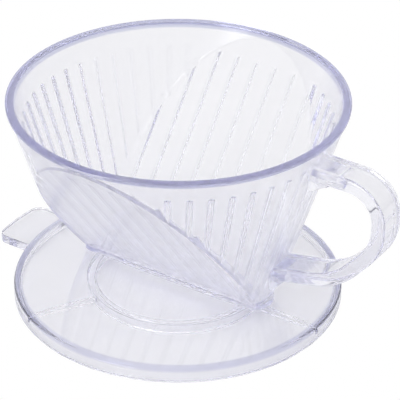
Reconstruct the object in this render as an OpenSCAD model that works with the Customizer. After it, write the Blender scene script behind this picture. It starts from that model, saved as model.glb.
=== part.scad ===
// Wedge coffee dripper in clear plastic: a ribbed filter cup, a strap handle
// and a round base plate that sits on a cup or a server.
// X runs along the drain slot towards the handle, Z is up, and the origin is
// the centre of the foot of the base plate, on the table.

/* [Cup] */
// Height of the rim above the table
cup_h = 76.5; // [68:0.5:88]
// Outside diameter of the rim
rim_d = 116; // [108:1:124]
// Height of the rim's outer band
rim_h = 1.6; // [1.2:0.1:2.6]
// How far the rim stands out past the wall
rim_lip = 0.7; // [0.4:0.1:1.2]
// Radius that rounds the edges of the rim
rim_round = 0.5; // [0.3:0.1:0.55]
// Thickness of the cup's wall
wall_t = 2.4; // [1.8:0.1:3]
// Outside diameter of the two conical ends where they meet the base plate
cone_foot_d = 72; // [66:1:78]
// Lean of the two flat faces from upright, in degrees
face_lean = 38; // [36.5:0.5:39]
// Outside width across the flat faces where they meet the base plate
face_foot_w = 9.4; // [8:0.2:11]
// Length of the foot that stands on the base plate
foot_l = 75.6; // [74:0.4:80]
// Width of the foot
foot_w = 12.8; // [12:0.2:15]
// Height of the foot
foot_h = 1.8; // [1.4:0.1:2.4]
// Radius of the foot's corners
foot_r = 5; // [3:0.5:5.5]
// Thickness of the floor under the coffee
floor_t = 2.8; // [2.2:0.1:3.6]

/* [Filter ribs] */
// Width of a rib at the wall
rib_w = 2.2; // [1.6:0.1:2.8]
// Width of a rib at its crest
rib_crest_w = 1.2; // [0.8:0.1:1.5]
// How far a rib stands in from the wall
rib_h = 1.1; // [0.7:0.1:1.5]
// Distance from the rim down to the tops of the ribs
rib_drop = 8; // [7:0.5:14]
// Distance between the ribs on the flat faces
face_rib_pitch = 7.7; // [6.5:0.1:9]
// Ribs to each side of the middle one on a flat face
face_rib_side = 4; // [3:1:4]
// Angle between the ribs on the conical ends
end_rib_pitch = 7.5; // [6.5:0.5:8]
// Ribs to each side of the middle one on a conical end
end_rib_side = 8; // [5:1:8]

/* [Drain] */
// Diameter of a drain hole
drain_d = 4.2; // [3:0.2:5]
// Distance between the drain holes
drain_pitch = 15; // [10:1:17]
// Length of the spout under the floor
spout_l = 46; // [42:1:50]
// Width of the spout
spout_w = 8; // [7.6:0.2:10]
// Radius of the spout's corners
spout_r = 3.5; // [2.5:0.1:3.7]
// Thickness of the spout's wall
spout_t = 1.2; // [0.8:0.1:1.4]
// How far the spout reaches below the plate
spout_drop = 1.2; // [0.5:0.1:1.8]

/* [Base plate] */
// Outside diameter of the skirt
base_d = 115; // [106:1:124]
// Height of the plate's outer edge above the table
edge_h = 5.3; // [4.8:0.1:6.5]
// Radius that rounds the outer edge
edge_r = 1.2; // [0.6:0.1:1.6]
// Height of the middle of the plate, where the cup stands
deck_h = 6.5; // [6.4:0.1:8]
// Diameter of the level middle of the plate
deck_d = 80; // [78:1:90]
// Thickness of the plate
deck_t = 2.2; // [1.8:0.1:2.6]
// Thickness of the skirt
skirt_t = 2.3; // [1.6:0.1:3]
// Outside diameter of the collar that centres the dripper on a server
collar_d = 63.2; // [56:0.4:68]
// Thickness of the collar
collar_t = 2.6; // [1.8:0.1:3.2]
// Gap between the foot of the collar and the table
collar_lift = 0.4; // [0:0.1:1.2]
// Number of stiffening ribs under the plate
web_count = 3; // [3:1:6]
// Thickness of a stiffening rib
web_t = 1.4; // [1:0.1:2]
// Gap between the foot of a stiffening rib and the table
web_lift = 2; // [1:0.1:2.6]

/* [Tab] */
// Width of the lifting tab
tab_w = 24; // [18:1:30]
// Reach of the tab from the axis
tab_reach = 71.4; // [64:0.2:74]
// Thickness of the tab
tab_t = 3.2; // [2.4:0.1:3.6]
// Gap between the tab and the table
tab_lift = 0.5; // [0.2:0.1:1]
// Radius of the tab's corners
tab_r = 4; // [2:0.5:8]

/* [Handle] */
// Width of the handle strap
strap_w = 12; // [10:0.5:15]
// Thickness of the handle strap
strap_t = 4.9; // [3.6:0.1:5.2]
// Distance from the rim down to the middle of the upper arm
arm_drop = 9.4; // [8:0.2:12]
// Straight length of the upper arm, out from the wall
arm_l = 14.2; // [11:0.1:18]
// Radius of the upper bend
top_bend_r = 11.5; // [9:0.5:13]
// Straight length between the upper bend and the palm
back_l = 1.8; // [1:0.1:6]
// Radius of the bend at the palm
palm_r = 19.5; // [17:0.5:22]
// Turn of the bend at the palm, in degrees
palm_turn = 40; // [38:1:46]
// Straight length below the palm
palm_l = 7; // [6:0.5:11]
// Radius of the lower bend
low_bend_r = 27; // [26:0.5:31]
// Turn of the lower bend, in degrees
low_turn = 38; // [35:1:40]
// Depth of the web in the corner under each arm
gusset_h = 4.5; // [3:0.5:7]
// Length of that web along the upper arm
gusset_l = 8; // [5:0.5:10]
// Length of that web along the lower arm
low_gusset_l = 4; // [2:0.5:6]
// Width of those webs
gusset_w = 9; // [6:0.5:10]

/* [Joints] */
// Gap left for cement where two mouldings meet
glue_gap = 0.1; // [0.05:0.01:0.2]
// Width of the tongues on the cup that the handle fits over
tongue_w = 7; // [5:0.5:8.5]
// Thickness of the tongues
tongue_t = 1.8; // [1.4:0.1:2]
// Length of the upper tongue outside the wall
top_tongue_l = 9.5; // [6:0.5:10]
// Length of the lower tongue outside the wall
low_tongue_l = 5; // [3:0.5:6]

/* [Hidden] */
$fn = 96;

plastic = [0.86, 0.86, 0.93, 0.45];
handle_tint = [0.80, 0.80, 0.90, 0.45];
plate_tint = [0.88, 0.88, 0.92, 0.45];
over = 1; // how far a cutter runs past what it cuts
bend_step = 4; // degrees between the points along a bend of the handle
sink = 0.6; // how far a rib or web is rooted in its wall

// The cup's conical ends
rim_r = rim_d / 2;
cup_z = deck_h + glue_gap; // underside of the foot
wall_h = cup_h - cup_z;
cone_top_r = rim_r - rim_lip + rim_h * (rim_r - rim_lip - cone_foot_d / 2) / wall_h;
cone_foot_r = cone_foot_d / 2;
cone_slope = (cone_top_r - cone_foot_r) / wall_h;
cone_lean = atan(cone_slope);
cone_in = wall_t / cos(cone_lean); // wall thickness, measured level
face_in = wall_t / cos(face_lean);
floor_z = cup_z + floor_t;
rib_top_z = cup_h - rib_drop;

// Radius of the conical ends, and half the width across the faces, at height z
function cone_r(z) = cone_foot_r + (z - cup_z) * cone_slope;
function face_y(z) = face_foot_w / 2 + (z - cup_z) * tan(face_lean);

// Points of a round corner of radius r about c, from angle a to angle b
function arc(c, r, a, b, n = 6) =
    [for (i = [0:n]) c + r * [cos(a + (b - a) * i / n), sin(a + (b - a) * i / n)]];

// The plate
base_r = base_d / 2;
deck_r = deck_d / 2;
collar_r = collar_d / 2;
edge_fall = (deck_h - edge_h) / (base_r - edge_r - deck_r);
function deck_z(r) = deck_h - max(0, r - deck_r) * edge_fall; // top of the plate

// The handle's middle line in the XZ plane, as straights that each end in a bend:
// [length, bend radius, turn towards the table in degrees]
arm_z = cup_h - arm_drop;
arm_x = cone_r(arm_z);
to_low_arm = [
    [arm_l + wall_t / 2, top_bend_r, 90],
    [back_l, palm_r, palm_turn],
    [palm_l, low_bend_r, low_turn]];
bent_strap = walk(to_low_arm, [arm_x - wall_t / 2, arm_z]);
low_bend = bent_strap[len(bent_strap) - 1];
low_dir = low_bend[1];
low_arm_l = (low_bend[0].x - cone_r(low_bend[0].y) + wall_t / 2)
    / (-cos(low_dir) - cone_slope * sin(low_dir)); // ends in the middle of the wall
low_root_z = low_bend[0].y - low_arm_l * sin(low_dir);
low_root_x = cone_r(low_root_z);

// Ways along a path and to its left, once it has turned by an angle from +X
function ahead(dir) = [cos(dir), -sin(dir)];
function left(dir) = [sin(dir), cos(dir)];

// Points along a path of straights and bends, each with the way the path heads there
function walk(moves, p, dir = 0, i = 0) = i == len(moves) ? [[p, dir]] :
    let (q = p + moves[i][0] * ahead(dir), r = moves[i][1], turn = moves[i][2],
        steps = ceil(turn / bend_step))
    concat([[p, dir]],
        [for (k = [0:steps - 1]) let (a = dir + turn * k / steps)
            [q + r * (left(a) - left(dir)), a]],
        walk(moves, q + r * (left(dir + turn) - left(dir)), dir + turn, i + 1));

// A slab with round corners in plan, centred on the axis
module rounded_plan(l, w, r, h) {
    linear_extrude(h) union() {
        square([l - 2 * r, w], center = true);
        square([l, w - 2 * r], center = true);
        for (x = [-1, 1], y = [-1, 1])
            translate([x * (l / 2 - r), y * (w / 2 - r)]) circle(r);
    }
}

// The cone between two flat faces, drawn in from the outside by an offset
module wedge(cone_off, face_off, z0, z1) {
    intersection() {
        translate([0, 0, z0])
            cylinder(h = z1 - z0, r1 = cone_r(z0) - cone_off, r2 = cone_r(z1) - cone_off);
        rotate([90, 0, 90]) translate([0, 0, -rim_r])
            linear_extrude(2 * rim_r) polygon([
                [-(face_y(z0) - face_off), z0], [face_y(z0) - face_off, z0],
                [face_y(z1) - face_off, z1], [-(face_y(z1) - face_off), z1]]);
    }
}

// A rib lying along +Z with its back to +X, on a wall whose surface is the plane x = 0
module rib_bar(l) {
    crest = rib_crest_w / 2;
    root = rib_w / 2 + sink * (rib_w / 2 - crest) / rib_h;
    linear_extrude(l) polygon([
        [sink, -root], [sink, root], [-rib_h, crest], [-rib_h, -crest]]);
}

// Ribs down the inside of the conical ends: strips of a thin cone inside the wall
module end_ribs() {
    z0 = floor_z - over;
    in_r = cone_foot_r / 2;
    half = asin(rib_w / 2 / (cone_r(rib_top_z) - cone_in));
    intersection() {
        difference() {
            inner_cone(-sink, z0, rib_top_z);
            inner_cone(rib_h, z0 - over, rib_top_z + over);
        }
        for (turn = [0, 180], i = [-end_rib_side:end_rib_side])
            rotate(turn + i * end_rib_pitch) translate([0, 0, z0 - over])
                linear_extrude(cup_h) polygon([
                    in_r * [1, -tan(half)], rim_r * [1, -tan(half)],
                    rim_r * [1, tan(half)], in_r * [1, tan(half)]]);
    }
}

// A cone inside the wall of the conical ends, drawn in from it by an offset
module inner_cone(off, z0, z1) {
    translate([0, 0, z0]) cylinder(h = z1 - z0,
        r1 = cone_r(z0) - cone_in - off, r2 = cone_r(z1) - cone_in - off);
}

// Ribs down the inside of the flat faces
module face_ribs() {
    y0 = face_y(floor_z) - face_in;
    l = (rib_top_z - floor_z) / cos(face_lean);
    for (turn = [0, 180], i = [-face_rib_side:face_rib_side])
        rotate(turn) translate([i * face_rib_pitch, y0, floor_z])
            rotate([0, 0, 90]) rotate([0, face_lean, 0]) rib_bar(l);
}

// The band round the mouth, with its edges rounded
module rim() {
    in_r = cone_r(cup_h) - cone_in;
    wall_r = cone_r(cup_h - rim_h) - cone_in / 2;
    rotate_extrude() polygon(concat(
        [[wall_r, cup_h - rim_h]],
        arc([rim_r - rim_round, cup_h - rim_h + rim_round], rim_round, -90, 0),
        arc([rim_r - rim_round, cup_h - rim_round], rim_round, 0, 90),
        arc([in_r + rim_round, cup_h - rim_round], rim_round, 90, 180)));
}

// Tongues that the handle's ends fit over
module tongues(grow = 0) {
    translate([arm_x - wall_t / 2, 0, arm_z]) tongue(top_tongue_l, grow);
    translate([low_root_x - wall_t / 2, 0, low_root_z]) tongue(low_tongue_l, grow);
}

module tongue(l, grow) {
    translate([0, -tongue_w / 2 - grow, -tongue_t / 2 - grow])
        cube([l + wall_t / 2 + grow, tongue_w + 2 * grow, tongue_t + 2 * grow]);
}

module cup() color(plastic) {
    difference() {
        union() {
            wedge(0, 0, cup_z, cup_h - rim_round);
            translate([0, 0, cup_z]) rounded_plan(foot_l, foot_w, foot_r, foot_h);
            tongues();
        }
        difference() {
            wedge(cone_in, face_in, floor_z, cup_h + over);
            end_ribs();
            face_ribs();
        }
        for (i = [-1:1]) translate([i * drain_pitch, 0, cup_z - over])
            cylinder(h = floor_t + 2 * over, d = drain_d);
    }
    rim();
    translate([0, 0, deck_h - deck_t - spout_drop]) difference() {
        rounded_plan(spout_l, spout_w, spout_r, deck_t + spout_drop + sink);
        translate([0, 0, -over])
            rounded_plan(spout_l - 2 * spout_t, spout_w - 2 * spout_t,
                spout_r - spout_t, deck_t + spout_drop + over + glue_gap);
    }
}

// Side view of the strap, from wall to wall
module strap_side() {
    steps = walk(concat(to_low_arm, [[low_arm_l, 0, 0]]), [arm_x - wall_t / 2, arm_z]);
    last = len(steps) - 1;
    polygon(concat(
        [for (s = steps) s[0] + strap_t / 2 * left(s[1])],
        [for (i = [0:last]) steps[last - i][0] - strap_t / 2 * left(steps[last - i][1])]));
}

// A side view in the XZ plane, drawn out to a width across the middle
module across(w) {
    rotate([90, 0, 0]) linear_extrude(w, center = true) children();
}

// Web in the corner between the wall and the underside of an arm, rooted in both
module gusset(l, h) {
    translate([0, -strap_t / 2]) polygon([
        [-wall_t / 2, sink], [l, sink], [l, 0], [0, -h], [-wall_t / 2, -h]]);
}

module handle() color(handle_tint) difference() {
    union() {
        across(strap_w) strap_side();
        across(gusset_w) {
            translate([arm_x, arm_z]) gusset(gusset_l, gusset_h);
            translate([low_root_x, low_root_z]) gusset(low_gusset_l, gusset_h);
        }
    }
    translate([0, 0, cup_z])
        cylinder(h = wall_h, r1 = cone_foot_r + glue_gap, r2 = cone_top_r + glue_gap);
    tongues(glue_gap);
}

// Half-section of the plate, its skirt and its collar
module base_section() {
    in_r = base_r - skirt_t;
    polygon(concat(
        [[0, deck_h - deck_t], [0, deck_h], [deck_r, deck_h]],
        arc([base_r - edge_r, edge_h - edge_r], edge_r, 90, 0),
        [[base_r, 0], [in_r, 0], [in_r, deck_z(in_r) - deck_t],
         [deck_r, deck_h - deck_t]]));
    translate([collar_r - collar_t, collar_lift])
        square([collar_t, deck_h - deck_t / 2 - collar_lift]);
}

// The tab from above, pointing along +X, its end bowed about the axis
module tab_plan() {
    corner_y = tab_w / 2 - tab_r;
    corner_dir = asin(corner_y / (tab_reach - tab_r));
    corner_x = (tab_reach - tab_r) * cos(corner_dir);
    bow = corner_dir * 0.75;
    polygon(concat(
        [[0, -tab_w / 2]],
        arc([corner_x, -corner_y], tab_r, -90, -corner_dir),
        arc([0, 0], tab_reach, -bow, bow),
        arc([corner_x, corner_y], tab_r, corner_dir, 90),
        [[0, tab_w / 2]]));
}

module base_plate() color(plate_tint) difference() {
    union() {
        rotate_extrude() base_section();
        for (i = [0:web_count - 1]) rotate(i * 360 / web_count)
            translate([collar_r - collar_t / 2, -web_t / 2, web_lift])
                cube([base_r - skirt_t / 2 - collar_r + collar_t / 2, web_t,
                    edge_h - deck_t / 2 - web_lift]);
        difference() {
            translate([0, 0, tab_lift]) rotate(180) linear_extrude(tab_t) tab_plan();
            translate([0, 0, tab_lift - over])
                cylinder(h = tab_t + 2 * over, r = base_r - skirt_t / 2);
        }
    }
    translate([0, 0, deck_h - deck_t - over])
        rounded_plan(spout_l + 2 * glue_gap, spout_w + 2 * glue_gap,
            spout_r + glue_gap, deck_t + 2 * over);
}

cup();
handle();
base_plate();
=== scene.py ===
"""Dresses the wedge coffee dripper: clear resin mouldings, a pale stage, soft light and a camera.

Sizes in the property groups are millimetres, as in the part's own source. Meshes are
built in millimetres and brought to metres when a piece is handed over.
"""

import math

import bmesh
import bpy
from bpy.props import FloatProperty, FloatVectorProperty, IntProperty, PointerProperty
from bpy.types import Operator, Panel, PropertyGroup
from mathutils import Matrix, Vector


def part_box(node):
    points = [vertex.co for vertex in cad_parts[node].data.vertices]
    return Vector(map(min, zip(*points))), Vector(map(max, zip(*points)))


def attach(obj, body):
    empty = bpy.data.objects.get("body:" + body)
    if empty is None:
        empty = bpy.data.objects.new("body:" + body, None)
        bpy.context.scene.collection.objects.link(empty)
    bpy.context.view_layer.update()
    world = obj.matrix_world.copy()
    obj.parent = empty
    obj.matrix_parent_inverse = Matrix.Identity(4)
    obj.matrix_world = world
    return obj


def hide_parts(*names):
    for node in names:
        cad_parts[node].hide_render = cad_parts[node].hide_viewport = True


bl_info = {
    "name": "Wedge Coffee Dripper",
    "version": (1, 0, 0),
    "blender": (4, 5, 0),
    "location": "3D View > Sidebar > Dripper",
    "description": "Builds the clear mouldings of a wedge coffee dripper round its packed model",
    "category": "Add Mesh",
}

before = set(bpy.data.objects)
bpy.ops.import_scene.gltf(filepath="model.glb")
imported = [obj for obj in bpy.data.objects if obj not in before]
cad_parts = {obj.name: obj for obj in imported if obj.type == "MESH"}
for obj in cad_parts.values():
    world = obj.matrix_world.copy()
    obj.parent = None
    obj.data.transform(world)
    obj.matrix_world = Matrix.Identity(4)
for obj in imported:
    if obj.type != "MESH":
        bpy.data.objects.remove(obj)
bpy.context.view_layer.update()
MM = 0.001
GLUE_GAP = 0.1  # left for cement where two mouldings meet, in millimetres
LAP = 0.6  # how far a joined part is rooted in what carries it
PAST = 1.0  # how far a cutter runs past what it cuts
HAIR = 0.02  # keeps two surfaces that are crossed from lying in one another
NUDGE = 0.01  # small step over which a slope is measured, in millimetres or degrees
END_STEPS, FOLD_STEPS = 64, 5  # points round an end of the cup and round a fold
RIB_STEPS, HEAD_STEPS = 7, 5  # edges down a rib's flank and over its head
SMOOTH_BELOW = math.radians(32)  # edges that turn less than this are shaded smooth

# Surfaces that the cup's mesh is cut from, by material index while it is being built
PLAIN, RIM, OUTER_CONE, OUTER_FACE, OUTER_FOLD, INNER_CONE, INNER_FACE, INNER_FOLD = range(8)


def cad_box_mm(node):
    """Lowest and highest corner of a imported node, in millimetres."""
    low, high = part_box(node)
    return Vector(low) / MM, Vector(high) / MM


CUP_LOW, CUP_HIGH = cad_box_mm("cup")
PLATE_LOW, PLATE_HIGH = cad_box_mm("base_plate")
HANDLE_LOW, HANDLE_HIGH = cad_box_mm("handle")


def size(name, default, text, low=0.0, high=200.0):
    """A length in millimetres that the user can change."""
    return FloatProperty(name=name, description=text, default=default, min=low, max=high)


def angle(name, default, text):
    """An angle in degrees that the user can change."""
    return FloatProperty(name=name, description=text, default=default, min=0.0, max=90.0)


def colour(name, default, text):
    """A colour that the user can change."""
    return FloatVectorProperty(name=name, description=text, default=default,
                               subtype="COLOR", min=0.0, max=1.0)


class DripperCup(PropertyGroup):
    """Sizes of the filter cup."""

    foot_z: size("Foot", 6.6, "Height of the cup's underside above the table")
    foot_r: size("Foot radius", 36.0, "Radius of the conical ends at the underside")
    rim_lip: size("Rim lip", 0.7, "How far the rim stands out past the wall")
    rim_h: size("Rim height", 1.6, "Height of the rim's outer band")
    rim_round: size("Rim rounding", 0.5, "Radius of the rim's edges")
    wall: size("Wall", 2.4, "Thickness of the wall")
    face_lean: angle("Face lean", 38.0, "Lean of the flat faces from upright")
    outer_fold: size("Outer fold", 0.5, "Radius of the fold between an end and a face, outside")
    inner_fold: size("Inner fold", 3.5, "Radius of the same fold inside the cup")
    face_foot: size("Face foot", 4.7, "Half the width across the faces at the underside")
    floor_t: size("Floor", 2.8, "Thickness of the floor")
    rib_h: size("Rib height", 1.1, "How far a rib stands in from the wall")
    rib_w: size("Rib width", 2.3, "Width of a rib where it leaves the wall")
    rib_crest: size("Rib crest", 0.1, "Width of the level part of a rib's crest")
    rib_head: size("Rib head", 0.7, "Length of the rounded top end of a rib")
    head_past: size("Head past the fold", 2.2, "How far a face rib runs on past the fold above it")
    rib_drop: size("Rib drop", 8.0, "Distance from the rim down to the rib tops")
    face_pitch: size("Face rib pitch", 7.7, "Distance between ribs on a flat face")
    end_pitch: angle("End rib pitch", 7.5, "Angle between ribs on a conical end")
    face_side: IntProperty(name="Face ribs a side", description="Ribs to each side of the middle",
                           default=4, min=1, max=4)
    end_side: IntProperty(name="End ribs a side", description="Ribs to each side of the middle",
                          default=8, min=1, max=8)
    stand_l: size("Stand length", 75.6, "Length of the foot that stands on the plate")
    stand_w: size("Stand width", 12.8, "Width of the foot")
    stand_h: size("Stand height", 1.8, "Height of the foot")
    stand_r: size("Stand corners", 5.0, "Radius of the foot's corners")
    drain_d: size("Drain hole", 4.2, "Diameter of a drain hole")
    drain_pitch: size("Drain pitch", 15.0, "Distance between the drain holes")
    spout_l: size("Spout length", 46.0, "Length of the spout under the floor")
    spout_w: size("Spout width", 8.0, "Width of the spout")
    spout_r: size("Spout corners", 3.5, "Radius of the spout's corners")
    spout_t: size("Spout wall", 1.2, "Thickness of the spout's wall")
    tongue_w: size("Tongue width", 7.0, "Width of the tongues that the handle fits over")
    tongue_t: size("Tongue thickness", 1.8, "Thickness of the tongues")
    top_tongue: size("Upper tongue", 9.5, "Length of the upper tongue outside the wall")
    low_tongue: size("Lower tongue", 5.0, "Length of the lower tongue outside the wall")


class DripperPlate(PropertyGroup):
    """Sizes of the base plate."""

    edge_h: size("Edge height", 5.3, "Height of the outer edge above the table")
    edge_r: size("Edge rounding", 1.2, "Radius of the outer edge")
    deck_r: size("Deck radius", 40.0, "Radius of the level middle")
    deck_t: size("Deck", 2.2, "Thickness of the plate")
    skirt_t: size("Skirt", 2.3, "Thickness of the skirt")
    collar_r: size("Collar radius", 31.6, "Outside radius of the collar")
    collar_t: size("Collar", 2.6, "Thickness of the collar")
    collar_lift: size("Collar lift", 0.4, "Gap between the collar and the table")
    web_count: IntProperty(name="Webs", description="Stiffening ribs under the plate",
                           default=3, min=0, max=12)
    web_t: size("Web", 1.4, "Thickness of a stiffening rib")
    web_lift: size("Web lift", 2.0, "Gap between a stiffening rib and the table")
    tab_w: size("Tab width", 24.0, "Width of the lifting tab")
    tab_t: size("Tab", 3.2, "Thickness of the tab")
    tab_lift: size("Tab lift", 0.5, "Gap between the tab and the table")
    tab_r: size("Tab corners", 4.0, "Radius of the tab's corners in plan")
    soft: size("Soft edges", 0.35, "Radius of the small moulded edges")


class DripperHandle(PropertyGroup):
    """Sizes of the handle."""

    thick: size("Thickness", 4.9, "Thickness of the strap")
    edge_r: size("Edge rounding", 1.0, "Radius of the strap's edges")
    arm_drop: size("Arm drop", 9.4, "Distance from the rim down to the middle of the upper arm")
    arm: size("Upper arm", 14.2, "Straight length of the upper arm")
    top_r: size("Upper bend", 11.5, "Radius of the upper bend")
    back: size("Back", 1.8, "Straight length between the upper bend and the palm")
    palm_r: size("Palm bend", 19.5, "Radius of the bend at the palm")
    palm_turn: angle("Palm turn", 40.0, "Turn of the bend at the palm")
    palm: size("Palm", 7.0, "Straight length below the palm")
    low_r: size("Lower bend", 27.0, "Radius of the lower bend")
    low_turn: angle("Lower turn", 38.0, "Turn of the lower bend")
    gusset_h: size("Gusset height", 4.5, "Depth of the web under each arm")
    gusset_l: size("Gusset length", 8.0, "Length of the web along the upper arm")
    low_gusset_l: size("Lower gusset length", 4.0, "Length of the web along the lower arm")
    gusset_w: size("Gusset width", 9.0, "Width of the webs")


class DripperResin(PropertyGroup):
    """Look of the clear resin."""

    ior: FloatProperty(name="IOR", description="Index of refraction of the resin",
                       default=1.57, min=1.0, max=2.0)
    tint: colour("Tint", (0.12, 0.11, 0.6), "Colour that light takes on inside the resin")
    # edge tint is painted shade: a deeper tint that darkens the rim, the handle's root and the
    # plate's skirt
    edge_shade_tint: colour("Edge tint", (0.5, 0.51, 0.72), "Deeper tint of the thick moulded edges")
    haze_tint: colour("Haze tint", (1.0, 1.0, 1.0), "Colour of the faint haze in the walls")
    haze: FloatProperty(name="Haze", description="Share of the light that the haze scatters",
                        default=0.015, min=0.0, max=1.0)
    depth: FloatProperty(name="Depth of colour", description="How fast the tint builds up, per metre",
                         default=7.5, min=0.0, soft_max=200.0)
    gloss: FloatProperty(name="Roughness", description="Roughness of the polished resin",
                         default=0.02, min=0.0, max=1.0)
    satin: FloatProperty(name="Wall roughness", description="Roughness of the cup's textured walls",
                         default=0.2, min=0.0, max=1.0)


class DripperStage(PropertyGroup):
    """Floor, light and camera."""

    floor_gap: size("Floor gap", 0.2, "Gap between the floor and the part's foot")
    light: FloatProperty(name="Light", description="Strength of the room light",
                         default=0.99, min=0.0)
    far_tone: colour("Far walls", (0.15, 0.15, 0.2), "Colour of the room near the horizon")
    far_low: FloatProperty(name="Far walls", description="Rise up to which the far walls are full",
                           default=0.0, min=-1.0, max=1.0)
    far_high: FloatProperty(name="Far walls' top", description="Rise at which they have ended",
                            default=0.12, min=-1.0, max=1.0)
    box_azimuth: FloatProperty(name="Softbox azimuth", default=188.0,
                               description="Turn of the softbox from the Y axis, in degrees")
    box_height: FloatProperty(name="Softbox height", default=22.0,
                              description="Angle of the softbox above the table, in degrees")
    box_edge: FloatProperty(name="Softbox edge", default=0.94,
                            description="Where the softbox begins, as the cosine of an angle")
    box_full: FloatProperty(name="Softbox middle", default=0.978,
                            description="Where the softbox is at its full strength")
    box_light: FloatProperty(name="Softbox light", description="Extra light of the softbox",
                             default=3.0, min=0.0)
    floor_tone: colour("Floor", (0.84, 0.84, 0.86), "Colour of the floor")
    camera_azimuth: angle("Azimuth", 33.0, "Turn of the view towards the handle")
    camera_height: angle("Height", 31.28, "Angle of the view above the table")
    camera_far: size("Distance", 749.1, "Distance from the camera to what it looks at", high=5000)
    camera_lens: size("Lens", 195.9, "Focal length", high=500)
    camera_frame: size("Camera frame", 36.0, "Width of the camera's frame")
    camera_roll: FloatProperty(name="Roll", description="Roll of the camera in degrees",
                               default=0.54)
    aim_side: size("Aim sideways", 7.48, "How far right of the axis the view is aimed")
    aim_up: size("Aim height", 35.9, "How far above the table the view is aimed")


# ---------------------------------------------------------------- mesh tools


def new_object(name, mesh):
    """Links a mesh to the scene under a name."""
    thing = bpy.data.objects.new(name, mesh)
    bpy.context.scene.collection.objects.link(thing)
    return thing


def loft(name, rings, mark=None):
    """Closed solid through rings of as many points each. mark(step, side) names a surface."""
    mesh = bpy.data.meshes.new(name)
    body = bmesh.new()
    rows = [[body.verts.new(p) for p in ring] for ring in rings]
    count = len(rows[0])
    for step, (below, above) in enumerate(zip(rows, rows[1:])):
        for i in range(count):
            j = (i + 1) % count
            side = body.faces.new((below[i], below[j], above[j], above[i]))
            side.material_index = mark(step, i) if mark else PLAIN
    for cap in (list(reversed(rows[0])), rows[-1]):
        body.faces.new(cap).material_index = PLAIN
    bmesh.ops.recalc_face_normals(body, faces=body.faces)
    body.to_mesh(mesh)
    body.free()
    return new_object(name, mesh)


def revolve(name, profile, sides):
    """Solid of revolution about Z through a profile of (radius, height) points."""
    turns = [math.radians(i * 360 / sides) for i in range(sides)]
    return loft(name, [[(r * math.cos(a), r * math.sin(a), z) for a in turns]
                       for r, z in profile])


def combine(thing, tool, operation):
    """Cuts, joins or crosses two solids, and deletes the second."""
    for one in (thing, tool):
        while len(one.data.materials) <= INNER_FOLD:
            one.data.materials.append(None)
    step = thing.modifiers.new("combine", "BOOLEAN")
    step.object = tool
    step.operation = operation
    step.solver = "MANIFOLD"
    depsgraph = bpy.context.evaluated_depsgraph_get()
    mesh = bpy.data.meshes.new_from_object(thing.evaluated_get(depsgraph))
    thing.modifiers.remove(step)
    thing.data = mesh
    bpy.data.objects.remove(tool)
    return thing


def arc(cx, cz, r, start, end, steps=6):
    """Points of a round corner about (cx, cz), from one angle to another in degrees."""
    turn = [math.radians(start + (end - start) * i / steps) for i in range(steps + 1)]
    return [(cx + r * math.cos(a), cz + r * math.sin(a)) for a in turn]


def rounded(corners, steps=6, lead=0.06):
    """Outline through corners (x, y, radius). A lead beside each arc keeps the flats flat."""
    outline = []
    for i, (x, y, r) in enumerate(corners):
        corner = Vector((x, y))
        if not r:
            outline.append(corner)
            continue
        back = (Vector(corners[i - 1][:2]) - corner).normalized()
        on = (Vector(corners[(i + 1) % len(corners)][:2]) - corner).normalized()
        half = back.angle(on) / 2
        reach = r / math.tan(half)
        centre = corner + (back + on).normalized() * r / math.sin(half)
        first = corner + back * reach - centre
        turn = (math.pi - 2 * half) * (1 if back.cross(on) < 0 else -1)
        outline.append(corner + back * (reach + lead))
        for step in range(steps + 1):
            outline.append(centre + Matrix.Rotation(turn * step / steps, 2) @ first)
        outline.append(corner + on * (reach + lead))
    return outline


def box_corners(length, width, r):
    """Corners of a rectangle centred on the axis, for rounded."""
    x, y = length / 2, width / 2
    return [(x, y, r), (-x, y, r), (-x, -y, r), (x, -y, r)]


def slab(name, outline, low, high):
    """Upright solid on an outline in plan."""
    return loft(name, [[(x, y, z) for x, y in outline] for z in (low, high)])


def soft_tab(plate, reach):
    """The lifting tab, pointing along -X, with its end bowed about the axis and soft edges."""
    half, low, high = plate.tab_w / 2, plate.tab_lift, plate.tab_lift + plate.tab_t
    corner_y = half - plate.tab_r
    tilt = math.asin(corner_y / (reach - plate.tab_r))
    corner_x = (reach - plate.tab_r) * math.cos(tilt)
    lean = math.degrees(tilt)
    bow_turn = 0.9 * lean  # a little short of the corners, so no edge is very short
    rings = []
    for inset, z in rounded([(half, low, 0), (0, low, plate.soft), (0, high, plate.soft),
                             (half, high, 0)], steps=4)[1:-1]:
        r, bow = plate.tab_r - inset, reach - inset
        outline = ([(0, half - inset)]
                   + arc(-corner_x, corner_y, r, 90, 180 - lean, 8)
                   + arc(0, 0, bow, 180 - bow_turn, 180 + bow_turn, 12)
                   + arc(-corner_x, -corner_y, r, 180 + lean, 270, 8)
                   + [(0, inset - half)])
        rings.append([(x, y, z) for x, y in outline])
    return loft("tab", rings)


def across(name, outline, width):
    """Solid on an outline in the XZ plane, drawn out to a width across the middle."""
    return loft(name, [[(x, y, z) for x, z in outline] for y in (-width / 2, width / 2)])


def block(name, low, high):
    """Plain box between two corners."""
    outline = [(low[0], low[1]), (high[0], low[1]), (high[0], high[1]), (low[0], high[1])]
    return slab(name, outline, low[2], high[2])


def shift(thing, x=0.0, y=0.0, z=0.0, turn=0.0):
    """Turns a mesh about the axis and moves it."""
    move = Matrix.Rotation(math.radians(turn), 4, "Z") @ Matrix.Translation((x, y, z))
    thing.data.transform(move)
    return thing


def ramp(distance, crest, foot):
    """1 on a crest, 0 past its foot, and a smooth slope between them."""
    if distance <= crest:
        return 1.0
    if distance >= foot:
        return 0.0
    return 0.5 + 0.5 * math.cos(math.pi * (distance - crest) / (foot - crest))


# ---------------------------------------------------------------- filter cup


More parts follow.
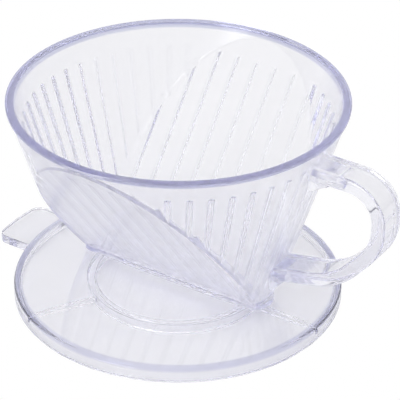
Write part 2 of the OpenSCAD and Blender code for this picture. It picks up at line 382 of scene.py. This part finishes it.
class WedgeForm:
    """The surfaces of the filter cup, as functions of place, in millimetres."""

    def __init__(self, cup):
        self.cup = cup
        self.top = CUP_HIGH.z
        self.rim_r = CUP_HIGH.y
        wall_h = self.top - cup.foot_z
        under_rim = self.rim_r - cup.rim_lip
        top_r = under_rim + cup.rim_h * (under_rim - cup.foot_r) / wall_h
        self.slope = (top_r - cup.foot_r) / wall_h
        self.face_slope = math.tan(math.radians(cup.face_lean))
        self.cone_wall = cup.wall * math.hypot(1, self.slope)
        self.face_wall = cup.wall * math.hypot(1, self.face_slope)
        self.floor_z = cup.foot_z + cup.floor_t
        self.rib_top = self.top - cup.rib_drop
        self.rib_top_r = self.cone_r(self.rib_top) - self.cone_wall
        self.face_tops = [self.face_rib_top(rib) for rib in range(cup.face_side + 1)]

    def cone_r(self, z):
        """Outside radius of the conical ends at a height."""
        return self.cup.foot_r + (z - self.cup.foot_z) * self.slope

    def face_y(self, z):
        """Half the width across the flat faces at a height."""
        return self.cup.face_foot + (z - self.cup.foot_z) * self.face_slope

    def outside(self, z):
        """Radius of the ends, half the width across the faces, and radius of the folds."""
        return self.cone_r(z), self.face_y(z), self.cup.outer_fold

    def inside(self, z):
        """The same for the hollow, a hair outside the surfaces that it is crossed with."""
        return (self.cone_r(z) - self.cone_wall + HAIR, self.face_y(z) - self.face_wall + HAIR,
                self.cup.inner_fold)

    @staticmethod
    def fold_centre(r, y, fold):
        """Centre, in plan, of the arc that rounds a fold between an end and a face."""
        least_x = 0.03  # keeps the last fold, where the face runs out, from closing up
        y = min(y, r)
        x = math.sqrt(max(0.0, (r - fold) ** 2 - (y - fold) ** 2))
        return max(x, least_x), y - fold

    def fold_heights(self, low, high, surface):
        """Heights at which the fold has moved by an even step, up to where it runs out."""
        stride, tries = 1.4, 2000
        heights, last = [low], self.fold_centre(*surface(low))
        for i in range(tries + 1):
            z = low + (high - low) * i / tries
            spot = self.fold_centre(*surface(z))
            if math.dist(spot, last) > stride:
                heights.append(z)
                last = spot
        return heights + [high]

    def rib(self, distance, drop):
        """Height of a rib, at a distance from its middle line and a drop below its top."""
        cup = self.cup
        end = ramp(cup.rib_head - drop, 0, cup.rib_head)
        return cup.rib_h * end * ramp(abs(distance), cup.rib_crest / 2, cup.rib_w / 2)

    def face_rib_top(self, rib):
        """Height of the top of a face rib: level, or just past the fold that it runs into."""
        x = rib * self.cup.face_pitch
        stride = 0.1
        for i in range(int((self.rib_top - self.floor_z) / stride)):
            z = self.rib_top - i * stride
            if math.hypot(x, self.face_y(z) - self.face_wall) < self.cone_r(z) - self.cone_wall:
                return min(self.rib_top, z + self.cup.head_past)
        return self.floor_z

    def inner_r(self, turn, z):
        """Radius inside the conical ends, with their ribs. turn is in degrees."""
        pitch = self.cup.end_pitch
        off = (turn + 90) % 180 - 90
        nearest = max(-self.cup.end_side, min(self.cup.end_side, round(off / pitch)))
        arc_mm = math.radians(off - nearest * pitch) * self.rib_top_r
        return self.cone_r(z) - self.cone_wall - self.rib(arc_mm, self.rib_top - z)

    def inner_y(self, x, z):
        """Half the width inside the flat faces, with their ribs."""
        pitch = self.cup.face_pitch
        nearest = max(-self.cup.face_side, min(self.cup.face_side, round(x / pitch)))
        drop = self.face_tops[abs(nearest)] - z
        rib = self.rib(x - nearest * pitch, drop) * math.hypot(1, self.face_slope)
        return self.face_y(z) - self.face_wall - rib

    def rib_offsets(self):
        """Distances from a rib's middle line at which its profile needs an edge."""
        half = self.cup.rib_w / 2
        side = [half * i / RIB_STEPS for i in range(1, RIB_STEPS + 1)]
        return sorted([0.0] + side + [-d for d in side])

    def heights(self, low, high):
        """Heights at which the ribbed surfaces need an edge."""
        ends = {round(top - self.cup.rib_head * i / HEAD_STEPS, 4)
                for top in self.face_tops + [self.rib_top] for i in range(HEAD_STEPS + 1)}
        return [low] + sorted(ends) + [high]


def end_turns(form):
    """Angles in degrees round the cup, with edges along each rib of the conical ends."""
    cup = form.cup
    margin, stride = 4, 2  # degrees past the last rib, and between edges on the plain wall
    turns = set()
    for half in (0, 180):
        for rib in range(-cup.end_side, cup.end_side + 1):
            for off in form.rib_offsets():
                turns.add(round((half + rib * cup.end_pitch
                                 + math.degrees(off / form.rib_top_r)) % 360, 5))
        edge = cup.end_side * cup.end_pitch + margin
        plain = int((180 - 2 * edge) / stride)
        for i in range(plain + 1):
            turns.add(round((half + edge + i * (180 - 2 * edge) / plain) % 360, 5))
    return sorted(turns)


def folded_ring(r, y, fold, z):
    """Outline of the cup at a height: two round ends, two flat faces and rounded folds."""
    cx, cy = WedgeForm.fold_centre(r, y, fold)
    lean = math.degrees(math.atan2(cy, cx))
    end = arc(0, 0, r, -lean, lean, END_STEPS)
    corner = arc(cx, cy, fold, lean, 90, FOLD_STEPS)
    half = end[:-1] + corner
    half = [(x, -y) for x, y in reversed(corner[1:])] + half
    return [(x, y, z) for x, y in half] + [(-x, -y, z) for x, y in half]


def folded_mark(end, face, fold):
    """Names the surfaces of a solid made of folded rings."""
    half = END_STEPS + 2 * FOLD_STEPS + 1

    def mark(step, side):
        i = side % half
        if i == half - 1:
            return face
        return end if FOLD_STEPS <= i < FOLD_STEPS + END_STEPS else fold
    return mark


def ribbed_cone(form, low, high):
    """The hollow inside the cone, with grooves where the ribs of the conical ends stand."""
    turns = end_turns(form)
    soft = form.cup.rim_round
    heights = form.heights(low, form.top - soft)
    rings = [[(form.inner_r(t, z), z, t) for t in turns] for z in heights]
    rim_r = rings[-1][0][0]
    mouth = arc(rim_r + soft, form.top - soft + HAIR, soft, 170, 92)
    rings += [[(r, z, t) for t in turns] for r, z in mouth]
    rings.append([(mouth[-1][0], high, t) for t in turns])
    places = [[(r * math.cos(math.radians(t)), r * math.sin(math.radians(t)), z)
               for r, z, t in ring] for ring in rings]
    walls = len(heights) - 1
    return loft("cone hollow", places, lambda step, side: INNER_CONE if step < walls else RIM)


def ribbed_faces(form, low, high):
    """The hollow between the flat faces, with grooves where their ribs stand."""
    cup = form.cup
    xs = {-form.rim_r, form.rim_r}
    for rib in range(-cup.face_side, cup.face_side + 1):
        xs.update(round(rib * cup.face_pitch + off, 5) for off in form.rib_offsets())
    xs = sorted(xs)
    rings = []
    for z in form.heights(low, high):
        far = [(x, form.inner_y(x, z), z) for x in xs]
        near = [(x, -form.inner_y(x, z), z) for x in reversed(xs)]
        rings.append(near + far)
    return loft("face hollow", rings, lambda step, side: INNER_FACE)


def cup_shell(form):
    """The outside of the cup with its rim, as a full body."""
    cup = form.cup
    under, soft = form.top - cup.rim_h, cup.rim_round
    walls = [folded_ring(*form.outside(z), z)
             for z in form.fold_heights(cup.foot_z, under, form.outside)]
    lip = (arc(form.rim_r - soft, under + soft, soft, -90, 0)
           + arc(form.rim_r - soft, form.top - soft, soft, 0, 90))
    band = [folded_ring(r, r, cup.outer_fold, z) for r, z in lip]
    outer = folded_mark(OUTER_CONE, OUTER_FACE, OUTER_FOLD)
    return loft("cup", walls + band,
                lambda step, side: outer(step, side) if step < len(walls) - 1 else RIM)


def cup_hollow(form):
    """The inside of the cup with its ribs. Each solid stands a little higher than the last."""
    hollow = ribbed_cone(form, form.floor_z - PAST, form.top + 2 * PAST)
    combine(hollow, ribbed_faces(form, form.floor_z, form.top + 3 * PAST), "INTERSECT")
    run_out = 0.6  # share of the way from the rib tops to the rim at which the folds end
    low, high = form.floor_z - PAST, form.rib_top + form.cup.rib_drop * run_out
    inner = [folded_ring(*form.inside(z), z)
             for z in form.fold_heights(low, high, form.inside)]
    wide, fold = form.rim_r, form.cup.inner_fold
    inner += [folded_ring(wide, wide, fold, z) for z in (high + NUDGE, form.top + 4 * PAST)]
    folds = loft("folds", inner, folded_mark(INNER_CONE, INNER_FACE, INNER_FOLD))
    return combine(hollow, folds, "INTERSECT")


def cup_spout(cup):
    """The spout under the floor, open at its lower end."""
    spout = slab("spout", rounded(box_corners(cup.spout_l, cup.spout_w, cup.spout_r)),
                 CUP_LOW.z, cup.foot_z + LAP)
    bore = rounded(box_corners(cup.spout_l - 2 * cup.spout_t, cup.spout_w - 2 * cup.spout_t,
                               cup.spout_r - cup.spout_t))
    return combine(spout, slab("bore", bore, CUP_LOW.z - PAST, cup.foot_z), "DIFFERENCE")


def cup_mesh(form, path):
    """The filter cup as one closed mesh."""
    cup = form.cup
    shell = cup_shell(form)
    stand = slab("stand", rounded(box_corners(cup.stand_l, cup.stand_w, cup.stand_r)),
                 cup.foot_z, cup.foot_z + cup.stand_h)
    combine(shell, stand, "UNION")
    for tongue in tongues(form, path, 0):
        combine(shell, tongue, "UNION")
    combine(shell, cup_hollow(form), "DIFFERENCE")
    for side in (-1, 0, 1):
        hole = revolve("drain", [(cup.drain_d / 2, z)
                                 for z in (cup.foot_z - PAST, form.floor_z + PAST)], 48)
        combine(shell, shift(hole, x=side * cup.drain_pitch), "DIFFERENCE")
    return combine(shell, cup_spout(cup), "UNION")


def tongues(form, path, grow):
    """The two tongues that the handle fits over, grown a little for its pockets."""
    cup = form.cup
    half_w, half_t = cup.tongue_w / 2 + grow, cup.tongue_t / 2 + grow
    made = []
    for x, z, length in ((path.arm_x, path.arm_z, cup.top_tongue),
                         (path.low_x, path.low_z, cup.low_tongue)):
        made.append(block("tongue", (x - cup.wall / 2, -half_w, z - half_t),
                          (x + length + grow, half_w, z + half_t)))
    return made


def fold_normal(form, surface, x, y, z):
    """Outward direction of a rounded fold."""
    step = 2 * NUDGE
    cx, cy = form.fold_centre(*surface(z))
    above = form.fold_centre(*surface(z + step))
    out = Vector((abs(x) - cx, abs(y) - cy)).normalized()
    rise = -(out.x * (above[0] - cx) + out.y * (above[1] - cy)) / step
    return Vector((math.copysign(out.x, x), math.copysign(out.y, y), rise))


def inner_cone_normal(form, x, y, z):
    """Direction out of the ribbed wall inside a conical end."""
    turn, r = math.degrees(math.atan2(y, x)), math.hypot(x, y)
    spin = (form.inner_r(turn + NUDGE, z) - form.inner_r(turn - NUDGE, z))
    spin /= 2 * math.radians(NUDGE) * r
    rise = (form.inner_r(turn, z + NUDGE) - form.inner_r(turn, z - NUDGE)) / (2 * NUDGE)
    return (-Vector((x, y, 0)).normalized() + spin * Vector((-y, x, 0)).normalized()
            + Vector((0, 0, rise)))


def inner_face_normal(form, x, y, z):
    """Direction out of the ribbed wall inside a flat face."""
    run = (form.inner_y(x + NUDGE, z) - form.inner_y(x - NUDGE, z)) / (2 * NUDGE)
    rise = (form.inner_y(x, z + NUDGE) - form.inner_y(x, z - NUDGE)) / (2 * NUDGE)
    return Vector((run, -1 if y > 0 else 1, rise))


def cup_normal(form, kind, x, y, z):
    """Direction out of the cup's surface of one kind, at a place on it."""
    if kind == OUTER_CONE:
        return Vector((x, y, 0)).normalized() - Vector((0, 0, form.slope))
    if kind == OUTER_FACE:
        return Vector((0, 1 if y > 0 else -1, -form.face_slope))
    if kind == OUTER_FOLD:
        return fold_normal(form, form.outside, x, y, z)
    if kind == INNER_FOLD:
        return -fold_normal(form, form.inside, x, y, z)
    if kind == INNER_CONE:
        return inner_cone_normal(form, x, y, z)
    return inner_face_normal(form, x, y, z)


def finish_normals(thing, form=None):
    """Shades a mesh smooth, and each cup surface by the form that it was cut from."""
    mesh = thing.data
    mesh.shade_smooth()
    mesh.set_sharp_from_angle(angle=SMOOTH_BELOW)
    normals = [Vector(n.vector) for n in mesh.corner_normals]
    agree = 0.7  # where a face is turned further off than this, its own normal stays
    for face in mesh.polygons:
        if face.material_index in (PLAIN, RIM):
            continue
        for loop in face.loop_indices:
            place = mesh.vertices[mesh.loops[loop].vertex_index].co
            way = cup_normal(form, face.material_index, *place).normalized()
            if way.dot(face.normal) > agree:
                normals[loop] = way
    mesh.normals_split_custom_set(normals)


# ---------------------------------------------------------------- handle


class StrapPath:
    """The middle line of the handle in the XZ plane, and where it meets the cup."""

    def __init__(self, handle, form):
        self.arm_z = form.top - handle.arm_drop
        self.arm_x = form.cone_r(self.arm_z)
        half_wall = form.cup.wall / 2
        start = Vector((self.arm_x - half_wall, self.arm_z))
        moves = [(handle.arm + half_wall, handle.top_r, 90),
                 (handle.back, handle.palm_r, handle.palm_turn),
                 (handle.palm, handle.low_r, handle.low_turn)]
        self.steps = [(start, 0.0)]
        for length, r, turn in moves:
            self.go(length, r, turn)
        end, way = self.steps[-1]
        fall, run = math.sin(math.radians(way)), -math.cos(math.radians(way))
        # the lower arm ends half way through the leaning wall, as the upper one starts
        last = (end.x - form.cone_r(end.y) + half_wall) / (run - form.slope * fall)
        self.go(last, 0, 0)
        self.low_z = self.steps[-1][0].y
        self.low_x = form.cone_r(self.low_z)

    @staticmethod
    def left(way):
        """Direction to the left of a way, which is in degrees below level."""
        return Vector((math.sin(math.radians(way)), math.cos(math.radians(way))))

    def go(self, length, r, turn, fine=3.0):
        """A straight with support points near its ends, then a bend."""
        point, way = self.steps[-1]
        ahead = Vector((math.cos(math.radians(way)), -math.sin(math.radians(way))))
        for share in (0.02, 0.98):
            self.steps.append((point + ahead * length * share, way))
        point = point + ahead * length
        count = max(1, round(turn / fine))
        for step in range(count + 1 if turn else 1):
            at = way + turn * step / count
            self.steps.append((point + (self.left(at) - self.left(way)) * r, at))


def handle_mesh(handle, form, path):
    """The strap handle as one closed mesh."""
    section = rounded(box_corners(handle.thick, HANDLE_HIGH.y - HANDLE_LOW.y, handle.edge_r))
    rings = []
    for point, way in path.steps:
        side = StrapPath.left(way)
        rings.append([(point.x + side.x * a, b, point.y + side.y * a) for a, b in section])
    strap = loft("handle", rings)
    for x, z, length in ((path.arm_x, path.arm_z, handle.gusset_l),
                         (path.low_x, path.low_z, handle.low_gusset_l)):
        under = z - handle.thick / 2
        root = x - form.cup.wall / 2
        outline = [(root, under + LAP), (x + length, under + LAP), (x + length, under),
                   (x, under - handle.gusset_h), (root, under - handle.gusset_h)]
        combine(strap, across("gusset", outline, handle.gusset_w), "UNION")
    wall = revolve("wall", [(form.cone_r(z) + GLUE_GAP, z) for z in (form.cup.foot_z, form.top)],
                   720)
    combine(strap, wall, "DIFFERENCE")
    for pocket in tongues(form, path, GLUE_GAP):
        combine(strap, pocket, "DIFFERENCE")
    return strap


# ---------------------------------------------------------------- base plate


def stiff_web(plate, inner, under, under_edge):
    """A stiffening rib along X, from the collar to the skirt, kept below the plate's top."""
    half, low = plate.web_t / 2, plate.web_lift
    section = rounded([(-half, under, 0), (-half, low, plate.soft),
                       (half, low, plate.soft), (half, under, 0)])
    bar = loft("web", [[(x, y, z) for y, z in section]
                       for x in (plate.collar_r - LAP, inner + LAP)])
    for vertex in bar.data.vertices:
        vertex.co.z = min(vertex.co.z, under_edge + LAP)
    return bar


def plate_mesh(plate, cup):
    """The base plate as one closed mesh."""
    edge, top = PLATE_HIGH.y, PLATE_HIGH.z
    fall = (top - plate.edge_h) / (edge - plate.edge_r - plate.deck_r)
    inner = edge - plate.skirt_t
    under = top - plate.deck_t
    under_edge = under - (inner - plate.deck_r) * fall
    edge_top = top - (edge - plate.deck_r) * fall
    collar_in = plate.collar_r - plate.collar_t
    soft = plate.soft
    middle = 1  # the slot is cut through here later
    profile = rounded([
        (middle, under, 0), (collar_in, under, soft), (collar_in, plate.collar_lift, soft),
        (plate.collar_r, plate.collar_lift, soft), (plate.collar_r, under, soft),
        (plate.deck_r, under, 0), (inner, under_edge, 2 * soft), (inner, 0, soft),
        (edge, 0, soft), (edge, edge_top, plate.edge_r), (plate.deck_r, top, 0),
        (middle, top, 0)])
    body = revolve("base plate", profile, 360)
    for web in range(plate.web_count):
        bar = stiff_web(plate, inner, under, under_edge)
        combine(body, shift(bar, turn=web * 360 / plate.web_count), "UNION")
    reach = -PLATE_LOW.x
    tab = soft_tab(plate, reach)
    core = revolve("core", [(edge - plate.skirt_t / 2, z)
                            for z in (plate.tab_lift - PAST, plate.tab_lift + plate.tab_t + PAST)],
                   360)
    combine(tab, core, "DIFFERENCE")
    combine(body, tab, "UNION")
    slot = rounded(box_corners(cup.spout_l + 2 * GLUE_GAP, cup.spout_w + 2 * GLUE_GAP,
                               cup.spout_r + GLUE_GAP))
    combine(body, slab("slot", slot, under - PAST, top + PAST), "DIFFERENCE")
    return body


def hand_over(thing, name, node, material):
    """Brings a finished mesh to metres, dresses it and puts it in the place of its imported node."""
    thing.name = thing.data.name = name
    thing.data.transform(Matrix.Scale(MM, 4))
    thing.data.materials.clear()
    thing.data.materials.append(material)
    for face in thing.data.polygons:
        face.material_index = PLAIN
    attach(thing, "root")
    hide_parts(node)


# ---------------------------------------------------------------- materials

WHITE = (1.0, 1.0, 1.0, 1.0)

# Bands of painted shade, a deeper tint, in millimetres: where a band begins and where it is full
RIM_SHADE_BAND = (2.2, 1.4)  # below the top of the rim
ROOT_SHADE_BAND = (16.0, 12.0)  # out from the inner end of the handle
SKIRT_SHADE_BAND = (3.0, 1.8)  # in from the edge of the base plate
SKIRT_END = (1.0, 0.5)  # out past that edge, where the clear tab begins
SKIRT_RISE = (3.8, 5.0)  # above the table
ROOT_SHADE_STRENGTH, SKIRT_SHADE_STRENGTH = 0.4, 0.8  # strength of these painted shade bands beside the rim's


class Wire:
    """A shader socket that Python's arithmetic works on."""

    def __init__(self, shader, socket):
        self.shader, self.socket = shader, socket

    def maths(self, operation, *values):
        return self.shader.add("ShaderNodeMath", {"operation": operation}, values)

    def __add__(self, other):
        return self.maths("ADD", self, other)

    def __sub__(self, other):
        return self.maths("SUBTRACT", self, other)

    def __rsub__(self, other):
        return self.maths("SUBTRACT", other, self)

    def __mul__(self, other):
        return self.maths("MULTIPLY", self, other)

    __radd__, __rmul__ = __add__, __mul__


class Shader:
    """The node tree of a material or of the room."""

    def __init__(self, owner):
        self.owner = owner
        owner.use_nodes = True
        self.tree = owner.node_tree
        self.tree.nodes.clear()

    def add(self, kind, settings=None, values=(), output=0):
        """Adds a node, sets it up, fills or links its inputs and gives one of its outputs."""
        node = self.tree.nodes.new(kind)
        for name, value in (settings or {}).items():
            setattr(node, name, value)
        pairs = values.items() if isinstance(values, dict) else enumerate(values)
        for key, value in pairs:
            if isinstance(value, Wire):
                self.tree.links.new(value.socket, node.inputs[key])
            else:
                node.inputs[key].default_value = value
        return Wire(self, node.outputs[output])

    def blend(self, share, first, second, way="MIX"):
        """Mixes two colours by a share, or adds that share of the second."""
        share_at, first_at, second_at, colour_out = 0, 6, 7, 2  # the node's colour sockets
        return self.add("ShaderNodeMix", {"data_type": "RGBA", "blend_type": way},
                        {share_at: share, first_at: first, second_at: second}, colour_out)

    def end(self, surface, volume=None, kind="ShaderNodeOutputMaterial"):
        """Links the finished surface, and what fills the inside, to the output."""
        out = self.tree.nodes.new(kind)
        self.tree.links.new(surface.socket, out.inputs["Surface"])
        if volume:
            self.tree.links.new(volume.socket, out.inputs["Volume"])
        return self.owner


def between(shader, value, start, full):
    """0 at the start and 1 from full on, both in millimetres, with a smooth change."""
    return shader.add("ShaderNodeMapRange", {"interpolation_type": "SMOOTHSTEP"},
                      {"Value": value, "From Min": start * MM, "From Max": full * MM})


def rim_shade_share(shader, place):
    """1 on the rim of the cup, where the painted shade is laid."""
    height = shader.add("ShaderNodeSeparateXYZ", None, {0: place}, "Z")
    return between(shader, height, *(CUP_HIGH.z - down for down in RIM_SHADE_BAND))


def root_shade_share(shader, place):
    """Painted shade, highest where the handle meets the cup."""
    along = shader.add("ShaderNodeSeparateXYZ", None, {0: place}, "X")
    return ROOT_SHADE_STRENGTH * between(shader, along, *(HANDLE_LOW.x + out for out in ROOT_SHADE_BAND))


def skirt_shade_share(shader, place):
    """Painted shade, highest round the upper edge of the base plate's skirt."""
    out = shader.add("ShaderNodeVectorMath", {"operation": "LENGTH"}, {0: place}, "Value")
    height = shader.add("ShaderNodeSeparateXYZ", None, {0: place}, "Z")
    return (SKIRT_SHADE_STRENGTH * between(shader, out, *(PLATE_HIGH.y - inward for inward in SKIRT_SHADE_BAND))
            * between(shader, out, *(PLATE_HIGH.y + past for past in SKIRT_END))
            * between(shader, height, *SKIRT_RISE))


def uneven(noise, spread):
    """A factor that varies about 1 with a noise."""
    return (1 - spread / 2) + spread * noise


def clear_resin(name, look, satin, edge_shade_share):
    """Clear resin: faint moulding waves, a cloudy haze, and polished edges with painted shade, a
    deeper tint that darkens them.
    """
    shader = Shader(bpy.data.materials.new(name))
    place = shader.add("ShaderNodeTexCoord", output="Object")
    smoke = shader.add("ShaderNodeTexNoise", None, {"Vector": place, "Scale": 30.0}, "Fac")
    # edge marks where the painted shade goes, and the same share keeps those edges polished
    edge = edge_shade_share(shader, place)
    # painted shade: the edges take the deeper tint, spread a little by the noise
    body = shader.blend(edge * uneven(smoke, 0.3), WHITE, (*look.edge_shade_tint, 1.0))
    waves = shader.add("ShaderNodeTexNoise", None, {"Vector": place, "Scale": 90.0, "Detail": 2.0})
    wave = shader.add("ShaderNodeBump", None,
                      {"Strength": 0.03, "Distance": 0.0005, "Height": waves}, "Normal")
    skin = shader.add("ShaderNodeBsdfPrincipled", None, {
        "Base Color": body,
        "Roughness": look.gloss + (satin - look.gloss) * (1.0 - edge) * uneven(smoke, 0.6),
        "IOR": look.ior,
        "Transmission Weight": 1.0,
        "Normal": wave,
    })
    bloom = shader.add("ShaderNodeBsdfDiffuse", None, {"Color": (*look.haze_tint, 1.0)})
    cloud = shader.add("ShaderNodeTexNoise", None,
                       {"Vector": place, "Scale": 60.0, "Detail": 3.0}, "Fac")
    veil = shader.add("ShaderNodeMixShader", None,
                      {0: look.haze * uneven(cloud, 0.6), 1: skin, 2: bloom})
    inside = shader.add("ShaderNodeVolumeAbsorption", None,
                        {"Color": (*look.tint, 1.0), "Density": look.depth})
    return shader.end(veil, inside)


def pale_floor(look):
    """Matt pale floor, seen as a clean white sheet where nothing stands in front of it."""
    shader = Shader(bpy.data.materials.new("floor"))
    paper = shader.add("ShaderNodeBsdfDiffuse", None, {"Color": (*look.floor_tone, 1.0)})
    sheet = shader.add("ShaderNodeEmission", None, {"Color": WHITE})
    direct = shader.add("ShaderNodeLightPath", output="Is Camera Ray")
    return shader.end(shader.add("ShaderNodeMixShader", None, {0: direct, 1: paper, 2: sheet}))


def soft_room(look):
    """A white room with darker far walls and a softbox."""
    shader = Shader(bpy.data.worlds.new("studio"))
    way = shader.add("ShaderNodeTexCoord", output="Generated")
    height = shader.add("ShaderNodeSeparateXYZ", None, {0: way}, "Z")
    far = shader.add("ShaderNodeMapRange", {"interpolation_type": "SMOOTHSTEP"},
                     {"Value": height, "From Min": look.far_high, "From Max": look.far_low})
    walls = shader.blend(far, WHITE, (*look.far_tone, 1.0))
    turn, rise = math.radians(look.box_azimuth), math.radians(look.box_height)
    aim = (math.cos(rise) * math.sin(turn), math.cos(rise) * math.cos(turn), math.sin(rise))
    facing = shader.add("ShaderNodeVectorMath", {"operation": "DOT_PRODUCT"},
                        {0: way, 1: aim}, "Value")
    box = shader.add("ShaderNodeMapRange", {"interpolation_type": "SMOOTHSTEP"},
                     {"Value": facing, "From Min": look.box_edge, "From Max": look.box_full})
    lit = shader.blend(box, walls, (*[look.box_light] * 3, 1.0), "ADD")
    room = shader.add("ShaderNodeBackground", None, {"Color": lit, "Strength": look.light})
    sheet = shader.add("ShaderNodeBackground", None, {"Color": WHITE})
    direct = shader.add("ShaderNodeLightPath", output="Is Camera Ray")
    seen = shader.add("ShaderNodeMixShader", None, {0: direct, 1: room, 2: sheet})
    return shader.end(seen, kind="ShaderNodeOutputWorld")


# ---------------------------------------------------------------- operators


class DRIPPER_OT_cup(Operator):
    """Builds the ribbed filter cup."""

    bl_idname = "dripper.cup"
    bl_label = "Filter Cup"

    def execute(self, context):
        form = WedgeForm(context.scene.dripper_cup)
        look = context.scene.dripper_resin
        cup = cup_mesh(form, StrapPath(context.scene.dripper_handle, form))
        finish_normals(cup, form)
        hand_over(cup, "filter_cup", "cup",
                  clear_resin("clear resin cup", look, look.satin, rim_shade_share))
        return {"FINISHED"}


class DRIPPER_OT_handle(Operator):
    """Builds the strap handle."""

    bl_idname = "dripper.handle"
    bl_label = "Handle"

    def execute(self, context):
        sizes, look = context.scene.dripper_handle, context.scene.dripper_resin
        form = WedgeForm(context.scene.dripper_cup)
        handle = handle_mesh(sizes, form, StrapPath(sizes, form))
        finish_normals(handle)
        hand_over(handle, "strap_handle", "handle",
                  clear_resin("clear resin handle", look, look.gloss, root_shade_share))
        return {"FINISHED"}


class DRIPPER_OT_base_plate(Operator):
    """Builds the base plate."""

    bl_idname = "dripper.base_plate"
    bl_label = "Base Plate"

    def execute(self, context):
        look = context.scene.dripper_resin
        plate = plate_mesh(context.scene.dripper_plate, context.scene.dripper_cup)
        finish_normals(plate)
        hand_over(plate, "round_base_plate", "base_plate",
                  clear_resin("clear resin plate", look, look.gloss, skirt_shade_share))
        return {"FINISHED"}


class DRIPPER_OT_stage(Operator):
    """Sets the floor, the light and the camera."""

    bl_idname = "dripper.stage"
    bl_label = "Stage"

    def execute(self, context):
        look = context.scene.dripper_stage
        mesh = bpy.data.meshes.new("floor")
        reach = 3.0
        low = -look.floor_gap * MM
        mesh.from_pydata([(-reach, -reach, low), (reach, -reach, low),
                          (reach, reach, low), (-reach, reach, low)], [], [(0, 1, 2, 3)])
        floor = new_object("floor", mesh)
        mesh.materials.append(pale_floor(look))
        context.scene.world = soft_room(look)
        place_camera(context.scene, look)
        context.scene.view_settings.view_transform = "Standard"
        light_paths(context.scene.cycles)
        return {"FINISHED"}


def light_paths(cycles):
    """Lets light pass through many clear walls before it is given up."""
    cycles.max_bounces = 48
    cycles.transmission_bounces = 48
    cycles.glossy_bounces = 24
    cycles.diffuse_bounces = 6
    cycles.blur_glossy = 0.0


def place_camera(scene, look):
    """Camera on a sphere about its aim, turned a little about its own axis."""
    turn = math.radians(look.camera_azimuth)
    rise = math.radians(look.camera_height)
    roll = math.radians(look.camera_roll)
    right = Vector((math.cos(turn), math.sin(turn), 0))
    ahead = Vector((-math.sin(turn), math.cos(turn), 0))
    aim = right * look.aim_side + Vector((0, 0, look.aim_up))
    view = ahead * math.cos(rise) - Vector((0, 0, math.sin(rise)))
    up = right.cross(view)
    place = (aim - view * look.camera_far) * MM
    side = right * math.cos(roll) + up * math.sin(roll)
    top = up * math.cos(roll) - right * math.sin(roll)
    lens = bpy.data.cameras.new("camera")
    lens.lens = look.camera_lens
    lens.sensor_width = look.camera_frame
    camera = new_object("camera", lens)
    camera.matrix_world = Matrix.Translation(place) @ Matrix((side, top, -view)).transposed().to_4x4()
    scene.camera = camera


class DRIPPER_PT_panel(Panel):
    """Lists the pieces of the dripper."""

    bl_label = "Dripper"
    bl_idname = "DRIPPER_PT_panel"
    bl_space_type = "VIEW_3D"
    bl_region_type = "UI"
    bl_category = "Dripper"

    def draw(self, context):
        for operator in OPERATORS:
            self.layout.operator(operator.bl_idname)


GROUPS = {"dripper_cup": DripperCup, "dripper_plate": DripperPlate,
          "dripper_handle": DripperHandle, "dripper_resin": DripperResin,
          "dripper_stage": DripperStage}
OPERATORS = (DRIPPER_OT_cup, DRIPPER_OT_handle, DRIPPER_OT_base_plate, DRIPPER_OT_stage)


def register():
    """Makes the groups, the operators and the panel known to Blender."""
    for name, group in GROUPS.items():
        bpy.utils.register_class(group)
        setattr(bpy.types.Scene, name, PointerProperty(type=group))
    for kind in (*OPERATORS, DRIPPER_PT_panel):
        bpy.utils.register_class(kind)


def unregister():
    """Takes them out again, in the opposite order."""
    for kind in (DRIPPER_PT_panel, *reversed(OPERATORS)):
        bpy.utils.unregister_class(kind)
    for name, group in reversed(GROUPS.items()):
        delattr(bpy.types.Scene, name)
        bpy.utils.unregister_class(group)


def main():
    """Builds the dripper and its stage."""
    register()
    bpy.ops.dripper.cup()
    bpy.ops.dripper.handle()
    bpy.ops.dripper.base_plate()
    bpy.ops.dripper.stage()


if __name__ == "__main__":
    main()
